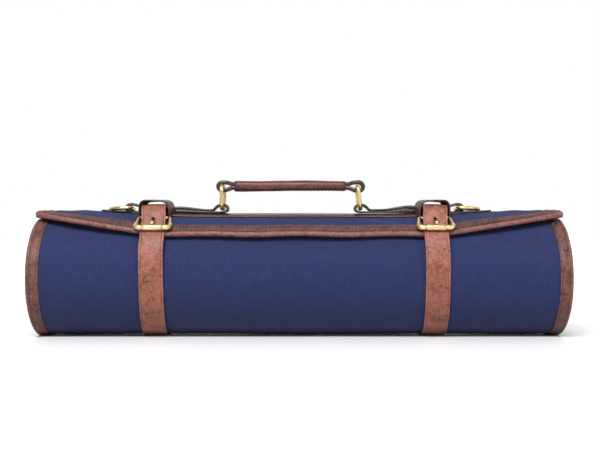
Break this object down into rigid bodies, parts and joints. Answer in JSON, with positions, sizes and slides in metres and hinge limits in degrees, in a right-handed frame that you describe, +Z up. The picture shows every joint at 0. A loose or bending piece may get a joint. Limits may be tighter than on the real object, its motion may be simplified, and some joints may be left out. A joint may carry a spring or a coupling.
{
  "type": "carving tool roll",
  "caption": "Rolled canvas tool roll with leather-bound edges, buckled wrap straps, flat-lying D-rings and a leather grip hung on upright brass rings.",
  "frame": {"origin": "middle of the footprint, on the floor that the roll's two straps rest on", "axes": "+X along the roll to the right as seen from the front, +Y away from the front where the flap closes, +Z up through the handle"},
  "size_m": [0.476, 0.112, 0.1406],
  "materials": {
    "canvas": "tightly woven waxed cotton canvas, navy",
    "lining_cloth": "plain cotton lining, tan",
    "pocket_cloth": "plain cotton canvas, navy",
    "binding_leather": "pull-up leather, stitched, brown",
    "strap_leather": "grained strap leather with stitched edges, tan brown",
    "trim_leather": "dark brown leather with rolled edges",
    "grip_leather": "dark red-brown rolled leather",
    "filler_cord": "packed cotton cord",
    "brass": "antique brass, polished on the wear faces"
  },
  "bodies": {
    "roll": {"outer_canvas": "canvas", "lining": "lining_cloth", "tool_pockets": "pocket_cloth", "tip_cover": "pocket_cloth", "end_binding_left": "binding_leather", "end_binding_right": "binding_leather", "flap_binding": "binding_leather", "inner_edge_binding": "binding_leather", "base_strip": "trim_leather", "anchor_left": "trim_leather", "anchor_right": "trim_leather", "wrap_strap_left": "strap_leather", "wrap_strap_right": "strap_leather", "chape_left": "trim_leather", "chape_right": "trim_leather", "keeper_left": "trim_leather", "keeper_right": "trim_leather"},
    "left_ring": {"handle_ring_left": "brass"},
    "right_ring": {"handle_ring_right": "brass"},
    "handle": {"handle_strap": "trim_leather", "handle_core": "filler_cord", "handle_wrap": "grip_leather"},
    "left_d_ring": {"d_ring_left": "brass"},
    "right_d_ring": {"d_ring_right": "brass"},
    "left_buckle": {"buckle_frame_left": "brass"},
    "left_roller": {"roller_left": "brass"},
    "left_prong": {"prong_left": "brass"},
    "right_buckle": {"buckle_frame_right": "brass"},
    "right_roller": {"roller_right": "brass"},
    "right_prong": {"prong_right": "brass"}
  },
  "joints": [
    {"name": "handle_lean", "type": "hinge", "parent": "roll", "child": "left_ring", "pos_m": [-0.0698, 0, 0.11458], "axis": [0, 1, 0], "range_deg": [-60, 60]},
    {"name": "handle_level", "type": "hinge", "parent": "left_ring", "child": "handle", "pos_m": [-0.0698, 0, 0.13478], "axis": [0, 1, 0], "range_deg": [-62, 62]},
    {"name": "right_ring_lean", "type": "hinge", "parent": "roll", "child": "right_ring", "pos_m": [0.0554, 0, 0.11458], "axis": [0, 1, 0], "range_deg": [-60, 60]},
    {"name": "left_d_ring_lift", "type": "hinge", "parent": "roll", "child": "left_d_ring", "pos_m": [-0.1525, 0, 0.11458], "axis": [0, 1, 0], "range_deg": [0, 120]},
    {"name": "right_d_ring_lift", "type": "hinge", "parent": "roll", "child": "right_d_ring", "pos_m": [0.1438, 0, 0.11458], "axis": [0, -1, 0], "range_deg": [0, 120]},
    {"name": "left_buckle_rock", "type": "hinge", "parent": "roll", "child": "left_buckle", "pos_m": [-0.1286, -0.0288, 0.1056], "axis": [-1, 0, 0], "range_deg": [0, 5]},
    {"name": "left_roller_spin", "type": "hinge", "parent": "left_buckle", "child": "left_roller", "pos_m": [-0.1286, -0.04508, 0.09735], "axis": [1, 0, 0], "continuous": true},
    {"name": "left_prong_lift", "type": "hinge", "parent": "left_buckle", "child": "left_prong", "pos_m": [-0.1286, -0.0288, 0.1056], "axis": [-1, 0, 0], "range_deg": [0, 4]},
    {"name": "right_buckle_rock", "type": "hinge", "parent": "roll", "child": "right_buckle", "pos_m": [0.1199, -0.0288, 0.1056], "axis": [-1, 0, 0], "range_deg": [0, 5]},
    {"name": "right_roller_spin", "type": "hinge", "parent": "right_buckle", "child": "right_roller", "pos_m": [0.1199, -0.04508, 0.09735], "axis": [1, 0, 0], "continuous": true},
    {"name": "right_prong_lift", "type": "hinge", "parent": "right_buckle", "child": "right_prong", "pos_m": [0.1199, -0.0288, 0.1056], "axis": [-1, 0, 0], "range_deg": [0, 4]}
  ],
  "couplings": [
    {"joint": "handle_level", "follows": "handle_lean", "ratio": -1.019},
    {"joint": "right_ring_lean", "follows": "handle_lean", "ratio": 1}
  ]
}
